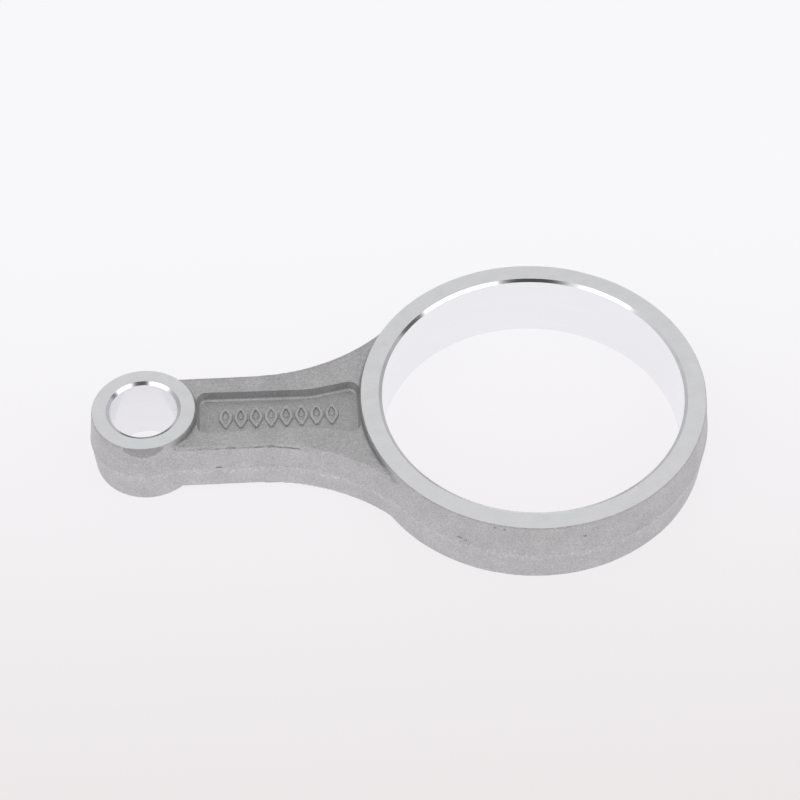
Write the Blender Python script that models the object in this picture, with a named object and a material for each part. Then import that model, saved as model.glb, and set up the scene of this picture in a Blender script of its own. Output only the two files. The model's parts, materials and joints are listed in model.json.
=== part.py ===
"""One-piece aluminium connecting rod for an eccentric shaft.

The rod is a single closed-die forging: a wide ring that runs on the eccentric, an I-section shank
that flares into it, and a small eye for the wrist pin. The dies part at mid thickness, so every
forged wall leans in by the draft angle above and below that plane. The end faces and the two bores
are machined. The rod lies along X, flat on Z = 0, with the centre of its footprint at the origin.
"""

import math

import bmesh
import bpy
from mathutils import Vector

# Driving dimensions, in metres and radians.
CENTRE_DISTANCE = 0.100
THICKNESS = 0.01945
DRAFT = math.radians(5.0)
SHOULDER_RADIUS = 0.0009
MACHINING_CUT = 0.00014

RING_FACE_RADIUS = 0.0441
RING_BORE_RADIUS = 0.03886
RING_CHAMFER_WIDTH = 0.00085
RING_CHAMFER_DEPTH = 0.00050

EYE_FACE_RADIUS = 0.0130
EYE_BORE_RADIUS = 0.00873
EYE_CHAMFER_WIDTH = 0.00090
EYE_CHAMFER_DEPTH = 0.00053

SHANK_STEP = 0.00235
SHANK_HALF_WIDTH = 0.0126
SHANK_EDGE_RADIUS = 0.0004
RING_FLARE_RADIUS = 0.0490
EYE_FLARE_RADIUS = 0.0030
FLARE_BITE = 0.0001
STEP_FILLET_RADIUS = 0.0010
FILLET_SINK = 0.000005

POCKET_DEPTH = 0.00275
POCKET_WAIST = 0.0570
POCKET_WAIST_HALF_WIDTH = 0.0063
POCKET_TAPER = 0.017
POCKET_FLARE = 0.24
POCKET_FLARE_BEND = 0.0015
POCKET_CORNER_RADIUS = 0.0026
POCKET_BITE = 0.00016
POCKET_SIDE_DRAFT = math.radians(5.0)
POCKET_END_DRAFT = math.radians(8.0)
POCKET_FLOOR_RADIUS = 0.0009

RING_SEGMENTS = 120
EYE_SEGMENTS = 72
FLARE_STEPS = 16
SMALL_ARC_STEPS = 4
CUT_OVERRUN = 0.0005
MERGE_DISTANCE = 0.000001

# Worked out from the driving dimensions.
PARTING_HEIGHT = THICKNESS / 2
DRAFT_SLOPE = math.tan(DRAFT)
SHOULDER_START = math.asin((SHOULDER_RADIUS - MACHINING_CUT) / SHOULDER_RADIUS)
SHOULDER_HEIGHT = THICKNESS + MACHINING_CUT - SHOULDER_RADIUS
SHOULDER_WIDTH = SHOULDER_RADIUS * (math.cos(DRAFT) - math.cos(SHOULDER_START))
SHOULDER_FOOT = SHOULDER_HEIGHT + SHOULDER_RADIUS * math.sin(DRAFT)
DRAFT_GROWTH = (SHOULDER_FOOT - PARTING_HEIGHT) * DRAFT_SLOPE
RING_PARTING_RADIUS = RING_FACE_RADIUS + SHOULDER_WIDTH + DRAFT_GROWTH
EYE_PARTING_RADIUS = EYE_FACE_RADIUS + SHOULDER_WIDTH + DRAFT_GROWTH
RING_X = (CENTRE_DISTANCE + EYE_PARTING_RADIUS - RING_PARTING_RADIUS) / 2
EYE_X = RING_X - CENTRE_DISTANCE
SHANK_TOP = THICKNESS - SHANK_STEP
POCKET_FLOOR = SHANK_TOP - POCKET_DEPTH


def clear_scene():
    for item in list(bpy.data.objects):
        bpy.data.objects.remove(item, do_unlink=True)


def arc(centre_x, centre_y, radius, start, end, steps):
    """Points along an arc, both ends included. Angles are in radians."""
    points = []
    for i in range(steps + 1):
        angle = start + (end - start) * i / steps
        x = centre_x + radius * math.cos(angle)
        y = centre_y + radius * math.sin(angle)
        points.append((x, y))
    return points


def add_object(name, bm):
    mesh = bpy.data.meshes.new(name)
    bm.to_mesh(mesh)
    bm.free()
    item = bpy.data.objects.new(name, mesh)
    bpy.context.scene.collection.objects.link(item)
    return item


def turned(name, profile, centre_x, segments):
    """A solid of revolution about a vertical axis. The (radius, z) profile starts and ends on it."""
    bm = bmesh.new()
    verts = [bm.verts.new((radius, 0.0, z)) for radius, z in profile]
    edges = [bm.edges.new(pair) for pair in zip(verts, verts[1:])]
    bmesh.ops.spin(
        bm,
        geom=verts + edges,
        cent=(0.0, 0.0, 0.0),
        axis=(0.0, 0.0, 1.0),
        angle=2 * math.pi,
        steps=segments,
        use_merge=True,
    )
    bmesh.ops.remove_doubles(bm, verts=bm.verts, dist=MERGE_DISTANCE)
    bmesh.ops.recalc_face_normals(bm, faces=bm.faces)
    bmesh.ops.translate(bm, verts=bm.verts, vec=Vector((centre_x, 0.0, 0.0)))
    return add_object(name, bm)


def lofted(name, sections):
    """A solid through level sections, each (z, outline), with as many points in every outline."""
    bm = bmesh.new()
    loops = []
    for z, outline in sections:
        loops.append([bm.verts.new((x, y, z)) for x, y in outline])
    for lower, upper in zip(loops, loops[1:]):
        count = len(lower)
        for i in range(count):
            j = (i + 1) % count
            bm.faces.new((lower[i], lower[j], upper[j], upper[i]))
    bm.faces.new(list(reversed(loops[0])))
    bm.faces.new(loops[-1])
    bmesh.ops.recalc_face_normals(bm, faces=bm.faces)
    return add_object(name, bm)


def mirrored_outline(half):
    """Closes a half outline, given from the eye to the ring on the +Y side, across the X axis."""
    other_half = [(x, -y) for x, y in half]
    return other_half + list(reversed(half))


def wall_radius(parting_radius, z):
    """The radius of an end's drafted wall at this height."""
    return parting_radius - abs(z - PARTING_HEIGHT) * DRAFT_SLOPE


def end_blank(name, parting_radius, centre_x, segments):
    """A drafted disc, faced on both sides, with what facing leaves of its rounded shoulders."""
    centre = parting_radius - DRAFT_GROWTH - SHOULDER_RADIUS * math.cos(DRAFT)
    upper = arc(centre, SHOULDER_HEIGHT, SHOULDER_RADIUS, SHOULDER_START, DRAFT, SMALL_ARC_STEPS)
    lower = [(radius, THICKNESS - z) for radius, z in reversed(upper)]
    middle = [(parting_radius, PARTING_HEIGHT)]
    profile = [(0.0, THICKNESS)] + upper + middle + lower + [(0.0, 0.0)]
    return turned(name, profile, centre_x, segments)


def shank_half_outline(inset):
    """The shank's +Y edge from inside the eye to inside the ring, this far in from the parting line."""
    eye_y = SHANK_HALF_WIDTH + EYE_FLARE_RADIUS
    eye_reach = EYE_PARTING_RADIUS + EYE_FLARE_RADIUS - FLARE_BITE
    eye_x = math.sqrt(eye_reach**2 - eye_y**2)
    eye_angle = math.atan2(-eye_y, -eye_x)
    ring_y = SHANK_HALF_WIDTH + RING_FLARE_RADIUS
    ring_reach = RING_PARTING_RADIUS + RING_FLARE_RADIUS - FLARE_BITE
    ring_x = -math.sqrt(ring_reach**2 - ring_y**2)
    ring_angle = math.atan2(-ring_y, -ring_x)
    down = -math.pi / 2

    inner_eye = (EYE_X + eye_x / 2, EYE_BORE_RADIUS)
    eye_arc = arc(EYE_X + eye_x, eye_y, EYE_FLARE_RADIUS + inset, eye_angle, down, SMALL_ARC_STEPS)
    ring_arc = arc(RING_X + ring_x, ring_y, RING_FLARE_RADIUS + inset, down, ring_angle, FLARE_STEPS)
    inner_angle = ring_angle + math.pi
    inner_radius = (RING_BORE_RADIUS + RING_FACE_RADIUS) / 2
    inner_ring = (
        RING_X + inner_radius * math.cos(inner_angle),
        inner_radius * math.sin(inner_angle),
    )
    return [inner_eye] + eye_arc + ring_arc + [inner_ring]


def shank_sections():
    """Drafted walls with rounded upper and lower edges, from the lower surface to the upper one."""
    wall_height = PARTING_HEIGHT - SHANK_STEP - SHANK_EDGE_RADIUS
    upper = [(PARTING_HEIGHT, 0.0)]
    for i in range(SMALL_ARC_STEPS + 1):
        angle = math.pi / 2 * i / SMALL_ARC_STEPS
        z = PARTING_HEIGHT + wall_height + SHANK_EDGE_RADIUS * math.sin(angle)
        inset = wall_height * DRAFT_SLOPE + SHANK_EDGE_RADIUS * (1 - math.cos(angle))
        upper.append((z, inset))
    lower = [(THICKNESS - z, inset) for z, inset in reversed(upper[1:])]
    return [(z, mirrored_outline(shank_half_outline(inset))) for z, inset in lower + upper]


def step_fillet(name, parting_radius, centre_x, segments):
    """A disc with the concave fillets that stand at the foot of an end's wall, on both shank faces."""
    fillet_centre = wall_radius(parting_radius, SHANK_TOP) + STEP_FILLET_RADIUS
    upper = []
    for i in range(SMALL_ARC_STEPS + 1):
        angle = math.pi + math.pi / 2 * i / SMALL_ARC_STEPS
        radius = fillet_centre + STEP_FILLET_RADIUS * math.cos(angle)
        z = SHANK_TOP - FILLET_SINK + STEP_FILLET_RADIUS * (1 + math.sin(angle))
        upper.append((radius, z))
    lower = [(radius, THICKNESS - z) for radius, z in reversed(upper)]
    top = upper[0][1]
    bottom = lower[-1][1]
    profile = [(0.0, top)] + upper + lower + [(0.0, bottom)]
    return turned(name, profile, centre_x, segments)


def fillet_envelope_sections():
    """The shank's plan, a little inside its rounded edge, over the full thickness."""
    wall_height = PARTING_HEIGHT - SHANK_STEP - SHANK_EDGE_RADIUS
    inset = wall_height * DRAFT_SLOPE + SHANK_EDGE_RADIUS
    outline = mirrored_outline(shank_half_outline(inset))
    return [(0.0, outline), (THICKNESS, outline)]


def pocket_half_width(distance):
    """Half the width at the mouth, which narrows towards a waist and then flares to the ring."""
    past_waist = POCKET_WAIST - distance
    tapered = POCKET_WAIST_HALF_WIDTH - past_waist * POCKET_TAPER
    return tapered + POCKET_FLARE * (past_waist + math.hypot(past_waist, POCKET_FLARE_BEND)) / 2


def pocket_half_outline(side_offset, end_offset):
    """The pocket's +Y edge from the eye's wall to the ring's, with its mouth's edge moved out."""
    corner = POCKET_CORNER_RADIUS + side_offset
    eye_wall = wall_radius(EYE_PARTING_RADIUS, SHANK_TOP) - POCKET_BITE
    ring_wall = wall_radius(RING_PARTING_RADIUS, SHANK_TOP) - POCKET_BITE
    eye_corner = CENTRE_DISTANCE - eye_wall + end_offset - corner
    ring_corner = ring_wall - end_offset + corner
    half = math.pi / 2
    flare_turn = math.atan(POCKET_FLARE - POCKET_TAPER)
    flare_end = ring_corner + corner * math.sin(flare_turn)
    eye_y = pocket_half_width(eye_corner) + side_offset - corner
    ring_y = pocket_half_width(flare_end) + side_offset - corner * math.cos(flare_turn)
    points = arc(RING_X - eye_corner, eye_y, corner, math.pi, half, SMALL_ARC_STEPS)
    for beyond in (14, 6, 3, 1.5, 0, -1.5, -3, -6):
        distance = POCKET_WAIST + beyond * 0.001
        points.append((RING_X - distance, pocket_half_width(distance) + side_offset))
    points += arc(RING_X - ring_corner, ring_y, corner, half + flare_turn, 0.0, SMALL_ARC_STEPS)
    return points


def pocket_wall_offsets(draft):
    """How far a wall stands out from the mouth's edge, from the floor up to above the mouth."""
    lean = math.tan(draft)
    turn = math.pi / 2 - draft
    foot_rise = POCKET_FLOOR_RADIUS * (1 - math.cos(turn))
    offsets = []
    for i in range(SMALL_ARC_STEPS + 1):
        angle = turn * i / SMALL_ARC_STEPS
        inset = POCKET_FLOOR_RADIUS * (math.sin(turn) - math.sin(angle))
        offsets.append(-(POCKET_DEPTH - foot_rise) * lean - inset)
    offsets.append(CUT_OVERRUN * lean)
    return offsets


def pocket_levels():
    """Heights above the pocket's floor: up the floor's rounded edge, then above the mouth."""
    turn = math.pi / 2 - POCKET_SIDE_DRAFT
    heights = []
    for i in range(SMALL_ARC_STEPS + 1):
        heights.append(POCKET_FLOOR_RADIUS * (1 - math.cos(turn * i / SMALL_ARC_STEPS)))
    return heights + [POCKET_DEPTH + CUT_OVERRUN]


def pocket_cutter(name, upper_side):
    side_offsets = pocket_wall_offsets(POCKET_SIDE_DRAFT)
    end_offsets = pocket_wall_offsets(POCKET_END_DRAFT)
    sections = []
    for height, side_offset, end_offset in zip(pocket_levels(), side_offsets, end_offsets):
        z = POCKET_FLOOR + height
        if not upper_side:
            z = THICKNESS - z
        sections.append((z, mirrored_outline(pocket_half_outline(side_offset, end_offset))))
    return lofted(name, sections)


def bore_cutter(name, radius, chamfer_width, chamfer_depth, centre_x, segments):
    """A through bore that opens with a chamfer at both faces."""
    mouth = radius + chamfer_width + CUT_OVERRUN * chamfer_width / chamfer_depth
    profile = [
        (0.0, THICKNESS + CUT_OVERRUN),
        (mouth, THICKNESS + CUT_OVERRUN),
        (radius, THICKNESS - chamfer_depth),
        (radius, chamfer_depth),
        (mouth, -CUT_OVERRUN),
        (0.0, -CUT_OVERRUN),
    ]
    return turned(name, profile, centre_x, segments)


def combine(body, tool, operation):
    """Applies an exact Boolean of the tool to the body, and removes the tool."""
    modifier = body.modifiers.new(operation.lower(), "BOOLEAN")
    modifier.operation = operation
    modifier.solver = "EXACT"
    modifier.object = tool
    evaluated = body.evaluated_get(bpy.context.evaluated_depsgraph_get())
    result = bpy.data.meshes.new_from_object(evaluated)
    old_mesh = body.data
    body.modifiers.clear()
    body.data = result
    bpy.data.meshes.remove(old_mesh)
    bpy.data.objects.remove(tool, do_unlink=True)


def forged_aluminium():
    material = bpy.data.materials.new("forged_aluminium")
    material.use_nodes = True
    shader = material.node_tree.nodes["Principled BSDF"]
    shader.inputs["Base Color"].default_value = (0.50, 0.50, 0.51, 1.0)
    shader.inputs["Metallic"].default_value = 1.0
    shader.inputs["Roughness"].default_value = 0.55
    return material


def build_connecting_rod():
    rod = lofted("connecting_rod", shank_sections())
    ring_size = (RING_PARTING_RADIUS, RING_X, RING_SEGMENTS)
    eye_size = (EYE_PARTING_RADIUS, EYE_X, EYE_SEGMENTS)
    for name, (parting_radius, centre_x, segments) in (("ring", ring_size), ("eye", eye_size)):
        fillet = step_fillet(name + "_fillet", parting_radius, centre_x, segments)
        envelope = lofted(name + "_envelope", fillet_envelope_sections())
        combine(fillet, envelope, "INTERSECT")
        combine(rod, fillet, "UNION")
    combine(rod, pocket_cutter("upper_pocket", True), "DIFFERENCE")
    combine(rod, pocket_cutter("lower_pocket", False), "DIFFERENCE")
    combine(rod, end_blank("ring", RING_PARTING_RADIUS, RING_X, RING_SEGMENTS), "UNION")
    combine(rod, end_blank("eye", EYE_PARTING_RADIUS, EYE_X, EYE_SEGMENTS), "UNION")
    ring_bore = bore_cutter(
        "ring_bore",
        RING_BORE_RADIUS,
        RING_CHAMFER_WIDTH,
        RING_CHAMFER_DEPTH,
        RING_X,
        RING_SEGMENTS,
    )
    combine(rod, ring_bore, "DIFFERENCE")
    eye_bore = bore_cutter(
        "eye_bore",
        EYE_BORE_RADIUS,
        EYE_CHAMFER_WIDTH,
        EYE_CHAMFER_DEPTH,
        EYE_X,
        EYE_SEGMENTS,
    )
    combine(rod, eye_bore, "DIFFERENCE")
    rod.data.materials.clear()
    rod.data.materials.append(forged_aluminium())
    rod.data.shade_smooth()
    rod.data.set_sharp_from_angle(angle=math.radians(30))
    return rod


clear_scene()
build_connecting_rod()
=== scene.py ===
import json
import math

import bmesh
import bpy
from mathutils import Matrix, Vector, noise


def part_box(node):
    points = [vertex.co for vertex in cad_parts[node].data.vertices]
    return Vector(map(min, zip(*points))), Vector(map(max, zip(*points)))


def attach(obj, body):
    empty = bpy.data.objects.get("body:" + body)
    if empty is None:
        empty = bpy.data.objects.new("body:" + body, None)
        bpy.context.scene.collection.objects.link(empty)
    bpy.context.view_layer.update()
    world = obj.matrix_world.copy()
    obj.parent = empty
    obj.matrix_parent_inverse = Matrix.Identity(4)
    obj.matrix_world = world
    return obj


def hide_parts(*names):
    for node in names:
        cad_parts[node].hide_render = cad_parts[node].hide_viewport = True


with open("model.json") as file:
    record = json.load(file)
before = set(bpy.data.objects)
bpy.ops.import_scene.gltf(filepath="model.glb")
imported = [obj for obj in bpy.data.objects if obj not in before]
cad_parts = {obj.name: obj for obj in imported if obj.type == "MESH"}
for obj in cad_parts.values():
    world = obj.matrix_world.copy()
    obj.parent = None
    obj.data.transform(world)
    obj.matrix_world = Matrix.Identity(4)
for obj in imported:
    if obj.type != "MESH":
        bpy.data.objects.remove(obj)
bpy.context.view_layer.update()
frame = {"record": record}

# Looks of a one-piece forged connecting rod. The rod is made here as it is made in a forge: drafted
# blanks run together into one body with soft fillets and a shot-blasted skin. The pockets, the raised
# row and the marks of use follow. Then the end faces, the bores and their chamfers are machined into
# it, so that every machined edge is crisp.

MM = 0.001

# Places and sizes that the CAD frame gives.
LOW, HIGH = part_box("connecting_rod")
MOUNTS = {mount["name"]: mount for mount in frame["record"]["mounts"]}
RING_X = MOUNTS["ring_face_upper"]["pos_m"][0]
EYE_X = MOUNTS["eye_face_upper"]["pos_m"][0]
THICKNESS = HIGH[2] - LOW[2]
PARTING_Z = THICKNESS / 2
CENTRE_DISTANCE = RING_X - EYE_X
RING_PARTING_RADIUS = (HIGH[1] - LOW[1]) / 2
EYE_PARTING_RADIUS = EYE_X - LOW[0]

# The forging.
DRAFT_SLOPE = math.tan(math.radians(5))
SHANK_STEP = 2.35 * MM
SHANK_HALF_WIDTH = 12.6 * MM
SHANK_EDGE_RADIUS = 0.05 * MM
RING_FLARE_RADIUS = 49 * MM
EYE_FLARE_RADIUS = 3 * MM
MACHINING_ALLOWANCE = 0.35 * MM
BORE_ALLOWANCE = 1.5 * MM
SHOULDER_RADIUS = 0.9 * MM
FLASH_HEIGHT = 0.12 * MM
FLASH_HALF_WIDTH = 0.55 * MM
VOXEL = 0.40 * MM
SMOOTHING_PASSES = 2
WAVINESS = 0.05 * MM
ORANGE_PEEL = 0.02 * MM

# The pockets. Their waist's place is measured from the ring's centre, the bite is how far their ends
# reach into the steps, and the stations are the millimetres from the waist to each point of their sides.
POCKET_DEPTH = 2.75 * MM
POCKET_WAIST = 57 * MM
POCKET_WAIST_HALF_WIDTH = 6.3 * MM
POCKET_TAPER = 0.017
POCKET_FLARE = 0.24
POCKET_FLARE_BEND = 1.5 * MM
POCKET_STATIONS = (14, 6, 4, 3, 2, 1, 0, -1, -2, -3, -4, -6)
POCKET_CORNER_RADIUS = 2.6 * MM
POCKET_BITE = 0.05 * MM
POCKET_SIDE_DRAFT = math.radians(5)
POCKET_END_DRAFT = math.radians(8)
POCKET_FLOOR_RADIUS = 0.7 * MM
FLAT_MARGIN = 0.1 * MM

# The raised row of lozenges on the pocket's floor.
LOZENGE_COUNT = 8
LOZENGE_PITCH = 3.9 * MM
LOZENGE_HALF_HEIGHT = 3.35 * MM
LOZENGE_HALF_LENGTH = 1.55 * MM
LOZENGE_FIRST = 79.2 * MM
LOZENGE_BLUNTING = 0.18
STROKE_HALF_WIDTH = 0.48 * MM
STROKE_SIDE_GROWTH = 1.15
STROKE_TIP_SHARE = 0.6
RELIEF_HEIGHT = 0.6 * MM
RELIEF_ROOT = -0.3 * MM

# The ground patch on the eye's front, just under its upper face.
GROUND_CUT_HEIGHT = 4.8 * MM
GROUND_BITE = 1.2 * MM
GROUND_LEAN = 0.21
GROUND_CURVE = 17.5 * MM
GROUND_REACH = 6.2 * MM

# The machined surfaces.
RING_BORE_RADIUS = 38.86 * MM
RING_CHAMFER_WIDTH = 0.85 * MM
RING_CHAMFER_DEPTH = 0.50 * MM
EYE_BORE_RADIUS = 8.73 * MM
EYE_CHAMFER_WIDTH = 0.90 * MM
EYE_CHAMFER_DEPTH = 0.53 * MM
RING_SEGMENTS = 360
EYE_SEGMENTS = 180
CUTTER_OVERRUN = 1 * MM
WELD_DISTANCE = 0.001 * MM
SHARP_ANGLE = math.radians(24)

# Painted shade in the pockets, and a painted shadow at the foot of the steps up to the ring and the eye.
POCKET_SHADE_FADE = 0.8 * MM
RELIEF_REACH = 5 * MM
RELIEF_FOOT = 0.35 * MM
STEP_SHADOW_STRENGTH = 2.4
STEP_SHADOW_WIDTH = 0.9 * MM
STEP_SHADOW_DEPTH = 0.4 * MM
RING_STEP_SHADOW_REACH = 23 * MM
EYE_STEP_SHADOW_REACH = SHANK_HALF_WIDTH - 0.8 * MM

SHANK_TOP = THICKNESS - SHANK_STEP
POCKET_FLOOR = SHANK_TOP - POCKET_DEPTH
RING_BORE = (RING_X, RING_BORE_RADIUS, RING_CHAMFER_WIDTH, RING_CHAMFER_DEPTH)
EYE_BORE = (EYE_X, EYE_BORE_RADIUS, EYE_CHAMFER_WIDTH, EYE_CHAMFER_DEPTH)

# The studio. Headings are turned from +Y towards +X.
CAMERA_FROM_RING = Vector((-59.45, -485.38, 570.35)) * MM
CAMERA_HEADING = math.radians(2.97)
CAMERA_PITCH = math.radians(49.6)
CAMERA_ROLL = math.radians(-0.32)
CAMERA_LENS = 131.52
FLOOR_HALF_SIZE = 6.0
FLOOR_GAP = 0.02 * MM
SOFTBOX_DISTANCE = 1.5
OPENING_AZIMUTH = -2
OPENING_ELEVATION = 55
OPENING_HALF_ANGLE = 21
TENT_SIDE_SHADE = 0.6


# ---------------------------------------------------------------- mesh helpers


def link(name, bm):
    """The bmesh as an object of the scene."""
    mesh = bpy.data.meshes.new(name)
    bm.to_mesh(mesh)
    bm.free()
    item = bpy.data.objects.new(name, mesh)
    bpy.context.scene.collection.objects.link(item)
    return item


def remove(item):
    mesh = item.data
    bpy.data.objects.remove(item, do_unlink=True)
    bpy.data.meshes.remove(mesh)


def arc(centre_x, centre_y, radius, start, end, steps):
    """Points along an arc, both ends included."""
    points = []
    for i in range(steps + 1):
        angle = start + (end - start) * i / steps
        points.append((centre_x + radius * math.cos(angle), centre_y + radius * math.sin(angle)))
    return points


def turned(name, profile, centre_x, segments):
    """A closed (radius, z) profile turned about a vertical axis."""
    bm = bmesh.new()
    rings = []
    for i in range(segments):
        angle = 2 * math.pi * i / segments
        across, along = math.cos(angle), math.sin(angle)
        rings.append([bm.verts.new((centre_x + r * across, r * along, z)) for r, z in profile])
    for i in range(segments):
        here, there = rings[i], rings[(i + 1) % segments]
        for j in range(len(profile)):
            k = (j + 1) % len(profile)
            bm.faces.new((here[j], there[j], there[k], here[k]))
    bmesh.ops.remove_doubles(bm, verts=bm.verts, dist=WELD_DISTANCE)
    bmesh.ops.dissolve_degenerate(bm, edges=bm.edges, dist=WELD_DISTANCE)
    bmesh.ops.recalc_face_normals(bm, faces=bm.faces)
    return link(name, bm)


def bridge(bm, first, second):
    """Side faces between two closed loops with as many points in each."""
    for i in range(len(first)):
        j = (i + 1) % len(first)
        bm.faces.new((first[i], first[j], second[j], second[i]))


def lofted(name, sections):
    """A solid through level sections, each (z, outline), with as many points in every outline."""
    bm = bmesh.new()
    loops = [[bm.verts.new((x, y, z)) for x, y in outline] for z, outline in sections]
    for lower, upper in zip(loops, loops[1:]):
        bridge(bm, lower, upper)
    bm.faces.new(list(reversed(loops[0])))
    bm.faces.new(loops[-1])
    bmesh.ops.recalc_face_normals(bm, faces=bm.faces)
    return link(name, bm)


def bake_modifiers(item):
    """Replaces the object's mesh by what its modifiers make of it."""
    evaluated = item.evaluated_get(bpy.context.evaluated_depsgraph_get())
    result = bpy.data.meshes.new_from_object(evaluated)
    old = item.data
    item.modifiers.clear()
    item.data = result
    bpy.data.meshes.remove(old)


def cut(item, tool, operation="DIFFERENCE"):
    """Cuts the tool out of the object, or joins or intersects the two, and uses up the tool."""
    modifier = item.modifiers.new("cut", "BOOLEAN")
    modifier.operation = operation
    modifier.solver = "MANIFOLD"
    modifier.object = tool
    bake_modifiers(item)
    remove(tool)


def join_meshes(name, items):
    """One object that holds the shells of them all."""
    bm = bmesh.new()
    for item in items:
        bm.from_mesh(item.data)
        remove(item)
    return link(name, bm)


# ---------------------------------------------------------------- the forging


def mirrored(half):
    """A whole outline from its +Y half."""
    return [(x, -y) for x, y in half] + list(reversed(half))


def end_wall(parting_radius, z):
    """The radius of an end's drafted wall at this height."""
    return parting_radius - abs(z - PARTING_Z) * DRAFT_SLOPE


def end_blank(name, centre_x, parting_radius, inner_radius, segments):
    """An end as forged: drafted walls, a trimmed flash land and rounded shoulders."""
    top = THICKNESS + MACHINING_ALLOWANCE
    shoulder_z = top - SHOULDER_RADIUS
    shoulder_x = end_wall(parting_radius, shoulder_z) - SHOULDER_RADIUS
    upper = [(inner_radius, top)]
    upper += list(reversed(arc(shoulder_x, shoulder_z, SHOULDER_RADIUS, 0, math.pi / 2, 8)))
    flash_edge = PARTING_Z + FLASH_HALF_WIDTH
    upper.append((end_wall(parting_radius, flash_edge), flash_edge))
    upper.append((parting_radius + FLASH_HEIGHT, PARTING_Z + FLASH_HALF_WIDTH / 2))
    lower = [(radius, THICKNESS - z) for radius, z in reversed(upper)]
    return turned(name, upper + lower, centre_x, segments)


def shank_half_outline(inset):
    """The shank's +Y edge from inside the eye to inside the ring, in from the parting line."""
    eye_y = SHANK_HALF_WIDTH + EYE_FLARE_RADIUS
    eye_x = math.sqrt((EYE_PARTING_RADIUS + EYE_FLARE_RADIUS) ** 2 - eye_y**2)
    eye_angle = math.atan2(-eye_y, -eye_x)
    ring_y = SHANK_HALF_WIDTH + RING_FLARE_RADIUS
    ring_x = -math.sqrt((RING_PARTING_RADIUS + RING_FLARE_RADIUS) ** 2 - ring_y**2)
    ring_angle = math.atan2(-ring_y, -ring_x)
    down = -math.pi / 2
    points = [(EYE_X + eye_x / 2, EYE_BORE_RADIUS)]
    points += arc(EYE_X + eye_x, eye_y, EYE_FLARE_RADIUS + inset, eye_angle, down, 8)
    points += arc(RING_X + ring_x, ring_y, RING_FLARE_RADIUS + inset, down, ring_angle, 48)
    inner_angle = ring_angle + math.pi
    inner_radius = RING_BORE_RADIUS + RING_CHAMFER_WIDTH
    inner_x = RING_X + inner_radius * math.cos(inner_angle)
    return points + [(inner_x, inner_radius * math.sin(inner_angle))]


def shank_blank():
    """The shank as forged: drafted walls, rounded edges and the trimmed flash land."""
    wall_height = PARTING_Z - SHANK_STEP - SHANK_EDGE_RADIUS
    upper = [
        (PARTING_Z + FLASH_HALF_WIDTH / 2, -FLASH_HEIGHT),
        (PARTING_Z + FLASH_HALF_WIDTH, FLASH_HALF_WIDTH * DRAFT_SLOPE),
    ]
    for along, rise in arc(0, 0, SHANK_EDGE_RADIUS, 0, math.pi / 2, 6):
        inset = wall_height * DRAFT_SLOPE + SHANK_EDGE_RADIUS - along
        upper.append((PARTING_Z + wall_height + rise, inset))
    lower = [(THICKNESS - z, inset) for z, inset in reversed(upper)]
    sections = [(z, mirrored(shank_half_outline(inset))) for z, inset in lower + upper]
    return lofted("shank_blank", sections)


def pocket_half_width(distance):
    """Half the width at the mouth, which narrows towards a waist and then flares to the ring."""
    past_waist = POCKET_WAIST - distance
    tapered = POCKET_WAIST_HALF_WIDTH - past_waist * POCKET_TAPER
    return tapered + POCKET_FLARE * (past_waist + math.hypot(past_waist, POCKET_FLARE_BEND)) / 2


def pocket_half_outline(side_offset, end_offset):
    """The pocket's +Y edge from the eye's wall to the ring's, with its mouth's edge moved out."""
    corner = POCKET_CORNER_RADIUS + side_offset
    eye_end = CENTRE_DISTANCE - end_wall(EYE_PARTING_RADIUS, SHANK_TOP) + POCKET_BITE + end_offset
    ring_end = end_wall(RING_PARTING_RADIUS, SHANK_TOP) - POCKET_BITE - end_offset
    eye_corner = eye_end - corner
    ring_corner = ring_end + corner
    quarter = math.pi / 2
    flare_turn = math.atan(POCKET_FLARE - POCKET_TAPER)
    flare_end = ring_corner + corner * math.sin(flare_turn)
    eye_y = pocket_half_width(eye_corner) + side_offset - corner
    ring_y = pocket_half_width(flare_end) + side_offset - corner * math.cos(flare_turn)
    points = arc(RING_X - eye_corner, eye_y, corner, math.pi, quarter, 8)
    for station in POCKET_STATIONS:
        distance = POCKET_WAIST + station * MM
        points.append((RING_X - distance, pocket_half_width(distance) + side_offset))
    return points + arc(RING_X - ring_corner, ring_y, corner, quarter + flare_turn, 0, 10)


def pocket_wall_offset(draft, angle, height):
    """How far a wall stands out from the mouth's edge, on the floor's edge or above it."""
    turn = math.pi / 2 - draft
    foot_rise = POCKET_FLOOR_RADIUS * (1 - math.cos(turn))
    if height > POCKET_FLOOR_RADIUS:
        return (height - POCKET_DEPTH) * math.tan(draft)
    bend = POCKET_FLOOR_RADIUS * (math.sin(turn) - math.sin(turn * angle))
    return -(POCKET_DEPTH - foot_rise) * math.tan(draft) - bend


def pocket_cutter(name, upper_side):
    """A pocket with a rounded floor edge and drafted walls."""
    turn = math.pi / 2 - POCKET_SIDE_DRAFT
    steps = 6
    # Each level is a share of the floor edge's bend, a height above the floor, and an inset.
    levels = [(0.0, 0.0, FLAT_MARGIN)]
    for i in range(steps + 1):
        levels.append((i / steps, POCKET_FLOOR_RADIUS * (1 - math.cos(turn * i / steps)), 0.0))
    levels.append((1.0, POCKET_DEPTH + CUTTER_OVERRUN, 0.0))
    sections = []
    for angle, height, inset in levels:
        side = pocket_wall_offset(POCKET_SIDE_DRAFT, angle, height) - inset
        end = pocket_wall_offset(POCKET_END_DRAFT, angle, height) - inset
        z = POCKET_FLOOR + height
        if not upper_side:
            z = THICKNESS - z
        sections.append((z, mirrored(pocket_half_outline(side, end))))
    return lofted(name, sections)


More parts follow.
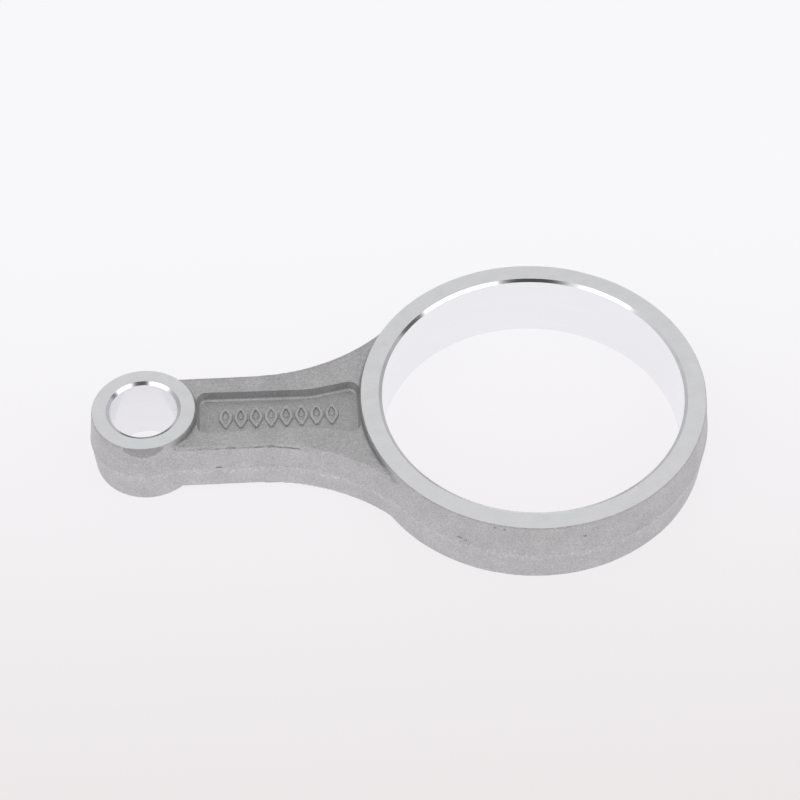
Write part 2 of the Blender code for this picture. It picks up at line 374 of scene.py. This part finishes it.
def forged_body():
    """The whole forging as one voxel skin, whose smoothing gives every corner its fillet."""
    shank = shank_blank()
    core = RING_BORE_RADIUS - BORE_ALLOWANCE
    ring = end_blank("ring_blank", RING_X, RING_PARTING_RADIUS, core, RING_SEGMENTS)
    eye = end_blank("eye_blank", EYE_X, EYE_PARTING_RADIUS, 0.0, EYE_SEGMENTS)
    body = join_meshes("connecting_rod_forging", [shank, ring, eye])
    remesh = body.modifiers.new("skin", "REMESH")
    remesh.mode = "VOXEL"
    remesh.voxel_size = VOXEL
    smooth = body.modifiers.new("fillets", "SMOOTH")
    smooth.factor = 0.5
    smooth.iterations = SMOOTHING_PASSES
    bake_modifiers(body)
    roughen(body)
    return body


def roughen(item):
    """The slight waves and the orange peel of a hot-forged, shot-blasted skin."""
    moved = []
    for vertex in item.data.vertices:
        place = vertex.co / MM
        wave = noise.noise(place * 0.14)
        peel = noise.noise(place * 0.75)
        moved.extend(vertex.co + vertex.normal * (wave * WAVINESS + peel * ORANGE_PEEL))
    item.data.vertices.foreach_set("co", moved)
    item.data.update()


def lozenge_loop(centre, half_length, half_height):
    """A lozenge with its corners taken off, as (x, y) points."""
    points = []
    for turn in range(4):
        angle = turn * math.pi / 2
        tip = (math.cos(angle), math.sin(angle))
        side = (-tip[1], tip[0])
        for share in (-LOZENGE_BLUNTING, LOZENGE_BLUNTING):
            x = (tip[0] * (1 - abs(share)) + side[0] * share) * half_length
            y = (tip[1] * (1 - abs(share)) + side[1] * share) * half_height
            points.append((centre + x, y))
    return points


def raised_frame(name, centre):
    """A lozenge's outline as a raised stroke with leaning sides."""
    levels = (
        (RELIEF_ROOT, STROKE_HALF_WIDTH * 1.3),
        (RELIEF_HEIGHT * 0.75, STROKE_HALF_WIDTH),
        (RELIEF_HEIGHT, STROKE_HALF_WIDTH * 0.65),
    )
    profile = list(levels) + [(z, -grow) for z, grow in reversed(levels)]
    # The stroke widens by more at its tips than at its sides, as a pointed corner does.
    stretch = LOZENGE_HALF_HEIGHT / LOZENGE_HALF_LENGTH
    bm = bmesh.new()
    loops = []
    for z, grow in profile:
        half_length = LOZENGE_HALF_LENGTH + grow * STROKE_SIDE_GROWTH
        scaled_height = half_length * stretch
        half_height = scaled_height * STROKE_TIP_SHARE + LOZENGE_HALF_HEIGHT * (1 - STROKE_TIP_SHARE)
        outline = lozenge_loop(centre, half_length, half_height)
        loops.append([bm.verts.new((x, y, POCKET_FLOOR + z)) for x, y in outline])
    for first, second in zip(loops, loops[1:] + loops[:1]):
        bridge(bm, first, second)
    bmesh.ops.recalc_face_normals(bm, faces=bm.faces)
    return link(name, bm)


def raised_pip(name, centre):
    """The low stud in a lozenge's middle, as three 12-sided levels."""
    sections = []
    for rise, radius in ((-0.3, 0.62), (0.25, 0.42), (0.36, 0.24)):
        outline = arc(centre, 0, radius * MM, 0, 2 * math.pi * 11 / 12, 11)
        sections.append((POCKET_FLOOR + rise * MM, outline))
    return lofted(name, sections)


def add_relief(body):
    """The row of plain lozenges that stands where the real forging carries its number."""
    for i in range(LOZENGE_COUNT):
        centre = RING_X - LOZENGE_FIRST + i * LOZENGE_PITCH
        cut(body, raised_frame("lozenge", centre), "UNION")
        cut(body, raised_pip("pip", centre), "UNION")


def nick(body, x, y, z, heading, length, width, depth):
    """A small gouge, as an ellipsoid cut that lies along the heading, in degrees."""
    bm = bmesh.new()
    bmesh.ops.create_icosphere(bm, subdivisions=3, radius=1.0)
    for vertex in bm.verts:
        vertex.co *= 1 + 0.25 * noise.noise(vertex.co * 1.7 + Vector((x, y, z)) / MM)
    size = Matrix.Diagonal((length / 2, depth, width / 2, 1))
    place = Matrix.Translation((x, y, z)) @ Matrix.Rotation(math.radians(heading), 4, "Z")
    bmesh.ops.transform(bm, matrix=place @ size, verts=bm.verts)
    cut(body, link("nick", bm))


def ring_wall_nick(body, angle, z, length, width, depth):
    """A gouge in the ring's outer wall, with its angle in degrees from +X."""
    turn = math.radians(angle)
    radius = end_wall(RING_PARTING_RADIUS, z)
    x = RING_X + radius * math.cos(turn)
    nick(body, x, radius * math.sin(turn), z, angle + 90, length, width, depth)


def handling_marks(body):
    """A slit at the parting line, gouges in the ring's front wall and chips along the shank's edge."""
    front = -SHANK_HALF_WIDTH
    parting_slit_x = RING_X - 81.3 * MM
    nick(body, parting_slit_x, front, PARTING_Z + 0.5 * MM, 0, 1.7 * MM, 0.42 * MM, 0.5 * MM)
    ring_wall_nick(body, -118.5, 11.5 * MM, 1.5 * MM, 0.5 * MM, 0.35 * MM)
    ring_wall_nick(body, -116.4, 11.2 * MM, 0.8 * MM, 0.5 * MM, 0.3 * MM)
    ring_wall_nick(body, -107, 18.5 * MM, 0.7 * MM, 0.5 * MM, 0.4 * MM)
    ring_wall_nick(body, -104, 18.2 * MM, 0.9 * MM, 0.5 * MM, 0.35 * MM)
    ring_wall_nick(body, -78, 15.1 * MM, 1.0 * MM, 0.5 * MM, 0.35 * MM)
    edge = front + (SHANK_TOP - PARTING_Z) * DRAFT_SLOPE + 0.12 * MM
    for distance, length in ((83.8, 4.6), (78.6, 3.0), (73.0, 2.4), (68.4, 3.4)):
        x = RING_X - distance * MM
        nick(body, x, edge, SHANK_TOP - 0.12 * MM, 0, length * MM, 0.5 * MM, 0.3 * MM)


def ground_front(z):
    """How far in front of the eye's centre the ground patch lies at this height."""
    return EYE_PARTING_RADIUS - GROUND_BITE + (THICKNESS - z) * GROUND_LEAN


def grind_eye_front(body):
    """The shallow lens-shaped patch that a grinding belt left on the eye's front."""
    half_turn = math.asin(GROUND_REACH / GROUND_CURVE)
    down = -math.pi / 2
    sections = []
    for z in (THICKNESS - GROUND_CUT_HEIGHT, THICKNESS + CUTTER_OVERRUN):
        front = ground_front(z)
        inner = arc(EYE_X, GROUND_CURVE - front, GROUND_CURVE, down - half_turn, down + half_turn, 48)
        outer_y = -front - 4 * MM
        outline = inner + [(inner[-1][0], outer_y), (inner[0][0], outer_y)]
        sections.append((z, outline))
    cut(body, lofted("grinding", sections))


def is_ground(centre):
    """Whether a point lies on the ground patch of the eye's front."""
    if centre.z < THICKNESS - GROUND_CUT_HEIGHT or centre.z > THICKNESS - 0.005 * MM or centre.y > 0:
        return False
    reach = math.hypot(centre.x - EYE_X, centre.y - GROUND_CURVE + ground_front(centre.z))
    return abs(reach - GROUND_CURVE) < 0.01 * MM


# ---------------------------------------------------------------- machining


def face_slab():
    """What is left between the two milled faces."""
    bm = bmesh.new()
    bmesh.ops.create_cube(bm, size=1.0)
    margin = 10 * MM
    size = (HIGH[0] - LOW[0] + margin, HIGH[1] - LOW[1] + margin, THICKNESS)
    bmesh.ops.scale(bm, vec=size, verts=bm.verts)
    centre = ((HIGH[0] + LOW[0]) / 2, (HIGH[1] + LOW[1]) / 2, PARTING_Z)
    bmesh.ops.translate(bm, vec=centre, verts=bm.verts)
    return link("face_slab", bm)


def bore_cutter(name, centre_x, radius, width, depth, segments):
    """A through bore with a chamfer at both mouths."""
    mouth = radius + width + CUTTER_OVERRUN * width / depth
    profile = [
        (0, THICKNESS + CUTTER_OVERRUN),
        (mouth, THICKNESS + CUTTER_OVERRUN),
        (radius, THICKNESS - depth),
        (radius, depth),
        (mouth, -CUTTER_OVERRUN),
        (0, -CUTTER_OVERRUN),
    ]
    return turned(name, profile, centre_x, segments)


def surface_kind(normal, centre):
    """What made this face: forging, milling, boring, chamfering or belt grinding."""
    if abs(normal.z) > 0.999 and abs(abs(centre.z - PARTING_Z) - PARTING_Z) < 0.002 * MM:
        return "milled"
    for bore_x, radius, width, depth in (RING_BORE, EYE_BORE):
        out_x = centre.x - bore_x
        distance = math.hypot(out_x, centre.y)
        inward = (normal.x * out_x + normal.y * centre.y) / max(distance, MM)
        if distance > radius + width or inward > -0.3:
            continue
        if THICKNESS - depth > centre.z > depth:
            return "bored"
        return "chamfered" if bore_x == RING_X else "eye_chamfered"
    if is_ground(centre):
        return "ground"
    return "forged"


def sort_surfaces(item, materials):
    """Gives each face the material of the pass that made it."""
    order = list(materials)
    item.data.materials.clear()
    for kind in order:
        item.data.materials.append(materials[kind])
    bm = bmesh.new()
    bm.from_mesh(item.data)
    for face in bm.faces:
        face.material_index = order.index(surface_kind(face.normal, face.calc_center_median()))
        face.smooth = True
    bm.to_mesh(item.data)
    bm.free()
    item.data.set_sharp_from_angle(angle=SHARP_ANGLE)


def past_wall(place, centre_x, parting_radius):
    """How far a point lies outside an end's drafted wall, at the shank's height."""
    return math.hypot(place.x - centre_x, place.y) - end_wall(parting_radius, SHANK_TOP)


def pocket_grime(place, depth):
    """The painted shade in a pocket, from 0 at its mouth to 1, but none on the raised row."""
    if abs(place.y) < RELIEF_REACH and depth < POCKET_DEPTH - RELIEF_FOOT:
        return 0.0
    distance = RING_X - place.x
    across = abs(place.y) - pocket_half_width(distance)
    from_eye = CENTRE_DISTANCE - EYE_PARTING_RADIUS - distance
    within = min(-across, distance - RING_PARTING_RADIUS, from_eye)
    return min(1.0, depth / POCKET_SHADE_FADE, (within + POCKET_SHADE_FADE) / POCKET_SHADE_FADE)


def painted_step_shadow(place, depth):
    """The painted shadow at the foot of the steps up to the ring and the eye, where more than 1 is dark.

    Past its reach and away from the steps both factors are negative, and their product is a thin dark
    line along the shank's very edge on the eye's half.
    """
    if not RING_X - 30 * MM > place.x > EYE_X + 4 * MM or depth >= STEP_SHADOW_DEPTH:
        return 0.0
    ring_wall = past_wall(place, RING_X, RING_PARTING_RADIUS)
    eye_wall = past_wall(place, EYE_X, EYE_PARTING_RADIUS)
    foot = 1.0 - abs(min(ring_wall, eye_wall)) / STEP_SHADOW_WIDTH
    reach = RING_STEP_SHADOW_REACH if ring_wall < eye_wall else EYE_STEP_SHADOW_REACH
    fade = min(1.0, (reach - abs(place.y)) / (3 * MM), 1.3 + depth / (1.9 * MM))
    return STEP_SHADOW_STRENGTH * foot * fade


def paint_pocket_and_step_shade(item):
    """Stores each point's painted shade in the pockets, from 0 to 1, and painted shadow at the foot of the
    steps, from 1 to 2, for the forged skin's colour.
    """
    stored = item.data.attributes.new("pocket_grime", "FLOAT", "POINT")
    for vertex in item.data.vertices:
        depth = SHANK_TOP - PARTING_Z - abs(vertex.co.z - PARTING_Z)
        share = max(pocket_grime(vertex.co, depth), painted_step_shadow(vertex.co, depth))
        stored.data[vertex.index].value = max(0.0, min(2.0, share))


# ---------------------------------------------------------------- materials


class Nodes:
    """Short names for making and joining shader nodes."""

    def __init__(self, tree):
        self.tree = tree

    def add(self, kind, **settings):
        node = self.tree.nodes.new(kind)
        for name, value in settings.items():
            if name in node.inputs:
                node.inputs[name].default_value = value
            else:
                setattr(node, name, value)
        return node

    def join(self, output, target):
        self.tree.links.new(output, target)

    def math(self, operation, first, second=0.0, third=0.0):
        node = self.tree.nodes.new("ShaderNodeMath")
        node.operation = operation
        for socket, value in zip(node.inputs, (first, second, third)):
            if isinstance(value, (int, float)):
                socket.default_value = value
            else:
                self.join(value, socket)
        return node.outputs[0]

    def product(self, first, *others):
        for factor in others:
            first = self.math("MULTIPLY", first, factor)
        return first

    def split(self, where):
        """The X, Y and Z outputs of a place."""
        node = self.add("ShaderNodeSeparateXYZ")
        self.join(where, node.inputs[0])
        return node.outputs

    def noise(self, where, scale, detail=2.0, roughness=0.5):
        node = self.add("ShaderNodeTexNoise", Scale=scale, Detail=detail, Roughness=roughness)
        self.join(where, node.inputs["Vector"])
        return node.outputs["Fac"]

    def ramp(self, value, low, high, to_low=0.0, to_high=1.0, smooth=False):
        node = self.tree.nodes.new("ShaderNodeMapRange")
        node.interpolation_type = "SMOOTHSTEP" if smooth else "LINEAR"
        for name, number in (("From Min", low), ("From Max", high)):
            node.inputs[name].default_value = number
        for name, number in (("To Min", to_low), ("To Max", to_high)):
            node.inputs[name].default_value = number
        self.join(value, node.inputs["Value"])
        return node.outputs["Result"]

    def band(self, value, centre, outer, inner, smooth=False):
        """1 within the inner distance of the centre, and 0 past the outer one."""
        offset = self.math("SUBTRACT", value, centre)
        return self.ramp(self.math("ABSOLUTE", offset), outer, inner, smooth=smooth)

    def blend(self, share, dark, light):
        node = self.tree.nodes.new("ShaderNodeMix")
        node.data_type = "RGBA"
        self.join(share, node.inputs["Factor"])
        for socket, value in ((node.inputs[6], dark), (node.inputs[7], light)):
            if isinstance(value, tuple):
                socket.default_value = (*value, 1.0)
            else:
                self.join(value, socket)
        return node.outputs[2]

    def weighted(self, parts):
        """The sum of (value, weight) pairs."""
        total = 0.0
        for value, weight in parts:
            total = self.math("MULTIPLY_ADD", value, weight, total)
        return total

    def tint(self, colour, factor):
        node = self.tree.nodes.new("ShaderNodeMix")
        node.data_type = "RGBA"
        node.blend_type = "MULTIPLY"
        node.inputs["Factor"].default_value = 1.0
        self.join(colour, node.inputs[6])
        node.inputs[7].default_value = (*factor, 1.0)
        return node.outputs[2]

    def attribute(self, name):
        return self.add("ShaderNodeAttribute", attribute_name=name).outputs["Fac"]

    def stretched(self, where, scale):
        node = self.add("ShaderNodeMapping")
        self.join(where, node.inputs["Vector"])
        node.inputs["Scale"].default_value = scale
        return node.outputs["Vector"]

    def bump(self, height, distance, normal=None):
        node = self.add("ShaderNodeBump", Strength=1.0, Distance=distance)
        self.join(height, node.inputs["Height"])
        if normal is not None:
            self.join(normal, node.inputs["Normal"])
        return node.outputs["Normal"]


def new_metal(name, roughness):
    """A metal with its nodes, its shader and the place on the rod in millimetres."""
    material = bpy.data.materials.new(name)
    material.use_nodes = True
    nodes = Nodes(material.node_tree)
    shader = material.node_tree.nodes["Principled BSDF"]
    shader.inputs["Metallic"].default_value = 1.0
    shader.inputs["Roughness"].default_value = roughness
    where = nodes.add("ShaderNodeTexCoord").outputs["Object"]
    scaled = nodes.add("ShaderNodeVectorMath", operation="SCALE")
    nodes.join(where, scaled.inputs[0])
    scaled.inputs["Scale"].default_value = 1 / MM
    return material, nodes, shader, scaled.outputs[0]


def parting_scuffs(nodes, where):
    """Bright rubbed patches in a band along the parting line."""
    band = nodes.band(nodes.split(where)["Z"], PARTING_Z / MM - 0.7, 2.2, 0.4, smooth=True)
    patches = nodes.ramp(nodes.noise(where, 1.1, 4, 0.75), 0.52, 0.64)
    return nodes.product(band, patches, 0.6)


def shank_hairline(nodes, where):
    """The broken dark line just under the shank's upper edges, on both sides."""
    split = nodes.split(where)
    line = nodes.band(split["Z"], SHANK_TOP / MM - 0.35, 0.22, 0.08)
    stretch = nodes.band(split["X"], RING_X / MM - 73, 13.5, 12)
    breaks = nodes.ramp(nodes.noise(where, 0.5, 3, 0.6), 0.47, 0.55)
    outside_pocket = nodes.ramp(nodes.math("ABSOLUTE", split["Y"]), 9.5, 10.5)
    return nodes.product(line, stretch, breaks, outside_pocket)


def forged_skin():
    """Shot-blasted aluminium: fine dimples, soft blotches, scuffs, painted shade in the pockets and a
    painted shadow at the foot of the steps.
    """
    material, nodes, shader, where = new_metal("shot_blasted_forging", 0.55)
    blotches = nodes.noise(where, 0.16, 3)
    mottle = nodes.noise(where, 0.9, 3, 0.6)
    grain = nodes.noise(where, 2.6, 2, 0.7)
    tone = nodes.weighted(((blotches, 0.18), (mottle, 0.17), (grain, 0.65)))
    clean = nodes.blend(nodes.ramp(tone, 0.32, 0.68), (0.437, 0.4365, 0.4405), (0.744, 0.7425, 0.749))
    clean = nodes.blend(parting_scuffs(nodes, where), clean, (0.86, 0.855, 0.86))
    shade_share = nodes.attribute("pocket_grime")
    # Painted shade: the colour darkens deeper in the pockets.
    shaded_colour = nodes.blend(shade_share, clean, nodes.tint(clean, (0.92, 0.92, 0.913)))
    # Painted shadow: the colour darkens more at the foot of the steps.
    shaded_colour = nodes.blend(nodes.ramp(shade_share, 1.0, 2.0), shaded_colour, nodes.tint(clean, (0.7, 0.7, 0.7)))
    shaded_colour = nodes.blend(shank_hairline(nodes, where), shaded_colour, nodes.tint(clean, (0.5, 0.5, 0.5)))
    nodes.join(shaded_colour, shader.inputs["Base Color"])
    nodes.join(nodes.ramp(mottle, 0.3, 0.7, 0.50, 0.60), shader.inputs["Roughness"])
    coarse = nodes.bump(mottle, 0.10 * MM)
    nodes.join(nodes.bump(grain, 0.07 * MM, normal=coarse), shader.inputs["Normal"])
    return material


def turned_face():
    """Fine-machined flat aluminium: faint tool marks, blotches and a few rubbed streaks."""
    material, nodes, shader, where = new_metal("machined_face", 0.34)
    blotches = nodes.noise(where, 0.25, 3)
    streaks = nodes.noise(nodes.stretched(where, (0.9, 3.5, 1.0)), 1.0, 3, 0.6)
    tone = nodes.weighted(((blotches, 0.5), (streaks, 0.5)))
    colour = nodes.blend(nodes.ramp(tone, 0.3, 0.7), (0.87, 0.872, 0.875), (0.96, 0.963, 0.97))
    nodes.join(colour, shader.inputs["Base Color"])
    nodes.join(nodes.bump(streaks, 0.012 * MM), shader.inputs["Normal"])
    return material


def bored_wall():
    """Smoothly bored aluminium, with faint rings that follow the boring tool."""
    material, nodes, shader, where = new_metal("bored_surface", 0.22)
    rings = nodes.noise(nodes.stretched(where, (0.03, 0.03, 2.2)), 1.0, 2)
    colour = nodes.blend(nodes.ramp(rings, 0.3, 0.7), (0.90, 0.902, 0.93), (0.92, 0.922, 0.945))
    nodes.join(colour, shader.inputs["Base Color"])
    return material


def chamfer_metal(name, roughness):
    """The bright narrow cut at a bore's mouth."""
    material, nodes, shader, where = new_metal(name, roughness)
    blotches = nodes.noise(where, 0.4, 2)
    colour = nodes.blend(nodes.ramp(blotches, 0.3, 0.7), (0.84, 0.84, 0.85), (0.92, 0.925, 0.94))
    nodes.join(colour, shader.inputs["Base Color"])
    return material


def dark_reflection_patch_metal():
    """Belt-ground aluminium with upright scratches, whose dark colour is a painted dark reflection."""
    material, nodes, shader, where = new_metal("belt_ground", 0.42)
    scratches = nodes.noise(nodes.stretched(where, (4.2, 4.2, 0.12)), 1.0, 3, 0.7)
    colour = nodes.blend(nodes.ramp(scratches, 0.35, 0.65), (0.33, 0.33, 0.335), (0.47, 0.467, 0.47))
    nodes.join(colour, shader.inputs["Base Color"])
    nodes.join(nodes.bump(scratches, 0.04 * MM), shader.inputs["Normal"])
    return material


# ---------------------------------------------------------------- the studio


def make_camera():
    """The viewpoint: 49.6 degrees above the rod, in front of it and a little to its left."""
    data = bpy.data.cameras.new("camera")
    data.lens = CAMERA_LENS
    data.sensor_width = 36
    data.clip_start = 0.01
    data.clip_end = 20
    camera = bpy.data.objects.new("camera", data)
    ring_top = Vector((RING_X, 0, THICKNESS))
    place = Matrix.Translation(ring_top + CAMERA_FROM_RING)
    heading = Matrix.Rotation(-CAMERA_HEADING, 4, "Z")
    tilt = Matrix.Rotation(math.pi / 2 - CAMERA_PITCH, 4, "X")
    roll = Matrix.Rotation(CAMERA_ROLL, 4, "Z")
    camera.matrix_world = place @ heading @ tilt @ roll
    bpy.context.scene.collection.objects.link(camera)
    bpy.context.scene.camera = camera


def make_floor():
    """A pale light table, a little dimmer towards the viewer."""
    bm = bmesh.new()
    bmesh.ops.create_grid(bm, x_segments=1, y_segments=1, size=FLOOR_HALF_SIZE)
    bmesh.ops.translate(bm, vec=(0, 0, LOW[2] - FLOOR_GAP), verts=bm.verts)
    floor = link("floor", bm)
    material = bpy.data.materials.new("light_table")
    material.use_nodes = True
    nodes = Nodes(material.node_tree)
    shader = material.node_tree.nodes["Principled BSDF"]
    shader.inputs["Roughness"].default_value = 0.9
    shader.inputs["Specular IOR Level"].default_value = 0.0
    shader.inputs["Base Color"].default_value = (0.10, 0.10, 0.10, 1.0)
    where = nodes.add("ShaderNodeTexCoord").outputs["Object"]
    ramp = nodes.add("ShaderNodeValToRGB")
    ramp.color_ramp.interpolation = "EASE"
    first, last = ramp.color_ramp.elements
    first.position, last.position = 0.0, 1.0
    first.color = (0.800, 0.762, 0.765, 1.0)
    last.color = (0.945, 0.935, 0.955, 1.0)
    nodes.join(nodes.ramp(nodes.split(where)["Y"], -0.20, 0.10), ramp.inputs["Fac"])
    nodes.join(ramp.outputs["Color"], shader.inputs["Emission Color"])
    shader.inputs["Emission Strength"].default_value = 0.92
    floor.data.materials.append(material)


def direction(azimuth, elevation):
    """Azimuth 0 is towards -Y, where the camera stands, and 90 is towards +X."""
    a, e = math.radians(azimuth), math.radians(elevation)
    return Vector((math.sin(a) * math.cos(e), -math.cos(a) * math.cos(e), math.sin(e)))


def make_softbox(name, azimuth, elevation, half_angle, radiance):
    """A round softbox that looks this wide, from the rod's middle to its rim."""
    data = bpy.data.lights.new(name, "AREA")
    data.shape = "DISK"
    data.size = 2 * SOFTBOX_DISTANCE * math.tan(math.radians(half_angle))
    data.energy = radiance * math.pi * math.pi * data.size**2 / 4
    light = bpy.data.objects.new(name, data)
    towards = direction(azimuth, elevation)
    light.location = towards * SOFTBOX_DISTANCE
    light.rotation_euler = towards.to_track_quat("Z", "Y").to_euler()
    bpy.context.scene.collection.objects.link(light)


def tent_disc(nodes, where, azimuth, elevation, outer, inner):
    """1 in a round patch of the tent, which fades out between two half angles in degrees."""
    towards = nodes.add("ShaderNodeVectorMath", operation="DOT_PRODUCT")
    nodes.join(where, towards.inputs[0])
    towards.inputs[1].default_value = direction(azimuth, elevation)
    rim = math.cos(math.radians(outer))
    inside = math.cos(math.radians(inner))
    return nodes.ramp(towards.outputs["Value"], rim, inside)


def make_tent():
    """A white light tent with greyer sides, a dark opening at the front and a small gap at the right."""
    world = bpy.data.worlds.new("light_tent")
    bpy.context.scene.world = world
    world.use_nodes = True
    nodes = Nodes(world.node_tree)
    background = world.node_tree.nodes["Background"]
    where = nodes.add("ShaderNodeTexCoord").outputs["Generated"]
    split = nodes.split(where)
    ramp = nodes.add("ShaderNodeValToRGB")
    stops = ((0.0, 0.55), (0.42, 0.52), (0.77, 0.68), (1.0, 0.75))
    elements = ramp.color_ramp.elements
    while len(elements) < len(stops):
        elements.new(0.5)
    for element, (position, level) in zip(elements, stops):
        element.position = position
        element.color = (level, level, level * 1.01, 1.0)
    nodes.join(split["Z"], ramp.inputs["Fac"])
    sideways = nodes.math("ABSOLUTE", split["X"])
    side = nodes.ramp(sideways, 0.62, 0.86, 0.0, TENT_SIDE_SHADE, smooth=True)
    colour = nodes.blend(side, ramp.outputs["Color"], (0.20, 0.20, 0.20))
    outer, inner = OPENING_HALF_ANGLE + 2, OPENING_HALF_ANGLE - 2
    opening = tent_disc(nodes, where, OPENING_AZIMUTH, OPENING_ELEVATION, outer, inner)
    colour = nodes.blend(opening, colour, (0.05, 0.048, 0.05))
    gap = tent_disc(nodes, where, 98, 46, 9, 5)
    nodes.join(nodes.blend(gap, colour, (0.12, 0.12, 0.12)), background.inputs["Color"])


# ---------------------------------------------------------------- making it all

make_camera()
make_floor()
make_tent()
make_softbox("softbox_left", -60, 50, 21, 1.08)
make_softbox("softbox_right", 60, 50, 21, 0.98)
bpy.context.scene.view_settings.view_transform = "Standard"

rod = forged_body()
cut(rod, pocket_cutter("upper_pocket", True))
cut(rod, pocket_cutter("lower_pocket", False))
add_relief(rod)
handling_marks(rod)
grind_eye_front(rod)
cut(rod, face_slab(), "INTERSECT")
cut(rod, bore_cutter("ring_bore", *RING_BORE, RING_SEGMENTS))
cut(rod, bore_cutter("eye_bore", *EYE_BORE, EYE_SEGMENTS))
finishes = {
    "forged": forged_skin(),
    "milled": turned_face(),
    "bored": bored_wall(),
    "chamfered": chamfer_metal("chamfered_edge", 0.11),
    "eye_chamfered": chamfer_metal("dull_chamfered_edge", 0.16),
    # The ground patch's dark colour is a painted dark reflection.
    "ground": dark_reflection_patch_metal(),
}
sort_surfaces(rod, finishes)
paint_pocket_and_step_shade(rod)
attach(rod, "root")
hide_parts("connecting_rod")
